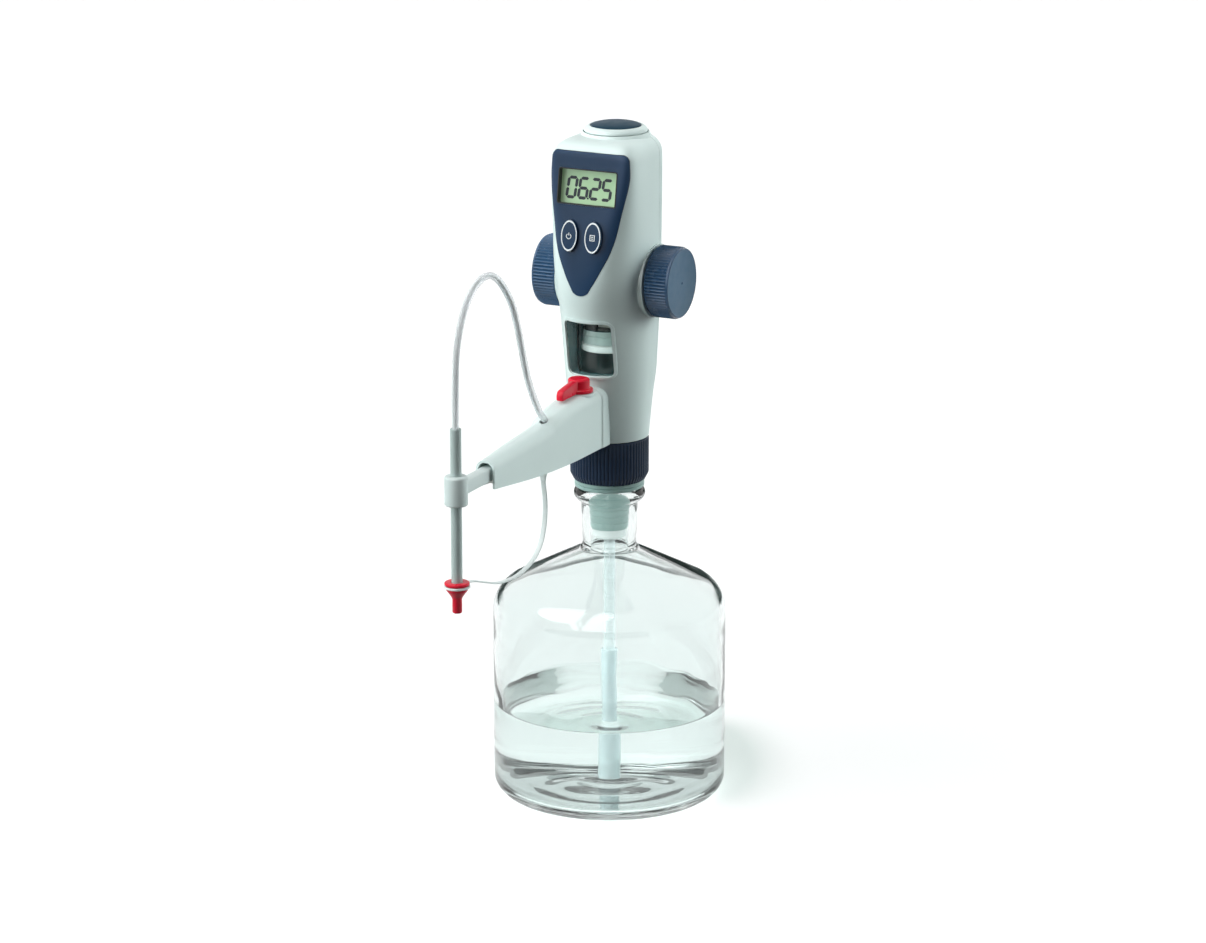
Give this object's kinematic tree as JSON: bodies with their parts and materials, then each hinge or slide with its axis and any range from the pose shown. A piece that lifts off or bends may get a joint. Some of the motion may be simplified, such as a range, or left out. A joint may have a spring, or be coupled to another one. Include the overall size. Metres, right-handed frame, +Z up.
{
  "type": "bottle_top_burette",
  "caption": "Bottle-top digital burette on a clear glass reagent bottle, with hand wheels, sight window, sliding discharge arm and capped delivery tube",
  "frame": {"origin": "centre of the bottle's base, on the bench", "axes": "Z up along the bottle, -Y towards the front with display and discharge arm, X along the wheel shaft"},
  "size_m": [0.161, 0.3144, 0.4712],
  "materials": {
    "clear_glass": "clear, polished",
    "clear_plastic": "clear, smooth",
    "white_plastic": "satin moulded",
    "milky_plastic": "translucent moulded",
    "grey_plastic": "satin moulded",
    "navy_plastic": "satin moulded",
    "red_plastic": "smooth moulded",
    "fluoropolymer": "waxy, turned",
    "steel": "turned",
    "acetal": "satin moulded",
    "lcd_green": "smooth display face",
    "board": "solder mask",
    "cell_wrap": "printed can"
  },
  "bodies": {
    "bottle": {"bottle_floor": "clear_glass", "glass_bottle": "clear_glass", "neck_adapter": "milky_plastic"},
    "base": {"swivel_base": "grey_plastic", "neck_seal": "fluoropolymer", "filling_valve": "fluoropolymer", "valve_ball": "clear_glass", "suction_tube": "clear_plastic"},
    "collar": {"collar_nut": "navy_plastic"},
    "sleeve": {"suction_sleeve": "clear_plastic"},
    "instrument": {"front_shell": "white_plastic", "rear_shell": "white_plastic", "front_panel": "navy_plastic", "lcd_module": "lcd_green", "circuit_board": "board", "sight_window": "clear_plastic", "glass_cylinder": "clear_glass", "cylinder_seal": "fluoropolymer", "cylinder_head": "grey_plastic", "valve_block": "fluoropolymer", "arm_cover": "white_plastic", "bar_guide": "acetal", "hose_fitting": "fluoropolymer", "gear_frame": "steel", "idler_pin": "steel", "shaft_bush_left": "acetal", "shaft_bush_right": "acetal", "cell_tray": "grey_plastic", "cell_left": "cell_wrap", "cell_right": "cell_wrap", "strap_anchor": "white_plastic", "hose_rise": "clear_plastic", "cap_strap_1": "white_plastic"},
    "wheels": {"hand_wheel_left": "navy_plastic", "hand_wheel_right": "navy_plastic", "wheel_shaft": "steel", "drive_pinion": "acetal"},
    "idler": {"reduction_gear": "acetal"},
    "piston": {"piston_rod": "acetal", "piston_head": "grey_plastic", "piston_seal": "fluoropolymer"},
    "lever": {"valve_lever": "red_plastic", "valve_spindle": "steel"},
    "slider": {"slide_bar": "grey_plastic", "hose_drop": "clear_plastic", "cap_strap_2": "white_plastic"},
    "tube": {"guide_tube": "grey_plastic", "discharge_tip": "fluoropolymer", "cap_strap_3": "white_plastic"},
    "cap": {"screw_cap": "red_plastic", "strap_ring": "white_plastic"},
    "power_key": {"key_power": "navy_plastic"},
    "pause_key": {"key_pause": "navy_plastic"},
    "clear_key": {"top_key": "white_plastic", "top_key_cap": "navy_plastic"},
    "cell_door": {"battery_cover": "white_plastic"}
  },
  "joints": [
    {"name": "unscrew_lift", "type": "slide", "parent": "bottle", "child": "base", "axis": [0, 0, 1], "range_m": [0, 0.012]},
    {"name": "collar_turn", "type": "hinge", "parent": "base", "child": "collar", "pos_m": [0, 0, 0.24], "axis": [0, 0, 1], "range_deg": [0, 1081]},
    {"name": "swivel", "type": "hinge", "parent": "base", "child": "instrument", "pos_m": [0, 0, 0.257], "axis": [0, 0, 1], "continuous": true},
    {"name": "suction_telescope", "type": "slide", "parent": "base", "child": "sleeve", "axis": [0, 0, 1], "range_m": [-0.006, 0.055]},
    {"name": "wheel_turn", "type": "hinge", "parent": "instrument", "child": "wheels", "pos_m": [0, 0.0068, 0.365], "axis": [1, 0, 0], "range_deg": [-1550, 221]},
    {"name": "idler_spin", "type": "hinge", "parent": "instrument", "child": "idler", "pos_m": [0, 0.0068, 0.3818], "axis": [1, 0, 0], "range_deg": [-74, 517]},
    {"name": "piston_slide", "type": "slide", "parent": "instrument", "child": "piston", "axis": [0, 0, 1], "range_m": [-0.0456, 0.0066]},
    {"name": "valve_turn", "type": "hinge", "parent": "instrument", "child": "lever", "pos_m": [0, -0.0475, 0.3], "axis": [0, 0, 1], "range_deg": [0, 90]},
    {"name": "arm_extend", "type": "slide", "parent": "instrument", "child": "slider", "axis": [0, -1, 0], "range_m": [-0.012, 0.03], "deforming": ["hose_rise", "cap_strap_1"]},
    {"name": "tube_height", "type": "slide", "parent": "slider", "child": "tube", "axis": [0, 0, 1], "range_m": [-0.025, 0.045], "deforming": ["hose_drop", "cap_strap_2"]},
    {"name": "cap_off", "type": "slide", "parent": "tube", "child": "cap", "axis": [0, 0, -1], "range_m": [0, 0.03], "deforming": ["cap_strap_3"]},
    {"name": "power_press", "type": "slide", "parent": "instrument", "child": "power_key", "axis": [0, 0.9878, -0.156], "range_m": [0, 0.0012], "stiffness_N_per_m": 300},
    {"name": "pause_press", "type": "slide", "parent": "instrument", "child": "pause_key", "axis": [0, 0.9878, -0.156], "range_m": [0, 0.0012], "stiffness_N_per_m": 300},
    {"name": "top_press", "type": "slide", "parent": "instrument", "child": "clear_key", "axis": [0, 0, -1], "range_m": [0, 0.0015], "stiffness_N_per_m": 300, "springref_m": -0.001},
    {"name": "door_off", "type": "slide", "parent": "instrument", "child": "cell_door", "axis": [0, 1, 0], "range_m": [0, 0.02]}
  ],
  "couplings": [
    {"joint": "collar_turn", "follows": "unscrew_lift", "rad_per_m": 1570.8},
    {"joint": "idler_spin", "follows": "wheel_turn", "ratio": -0.33333},
    {"joint": "piston_slide", "follows": "wheel_turn", "m_per_rad": 0.00168}
  ]
}
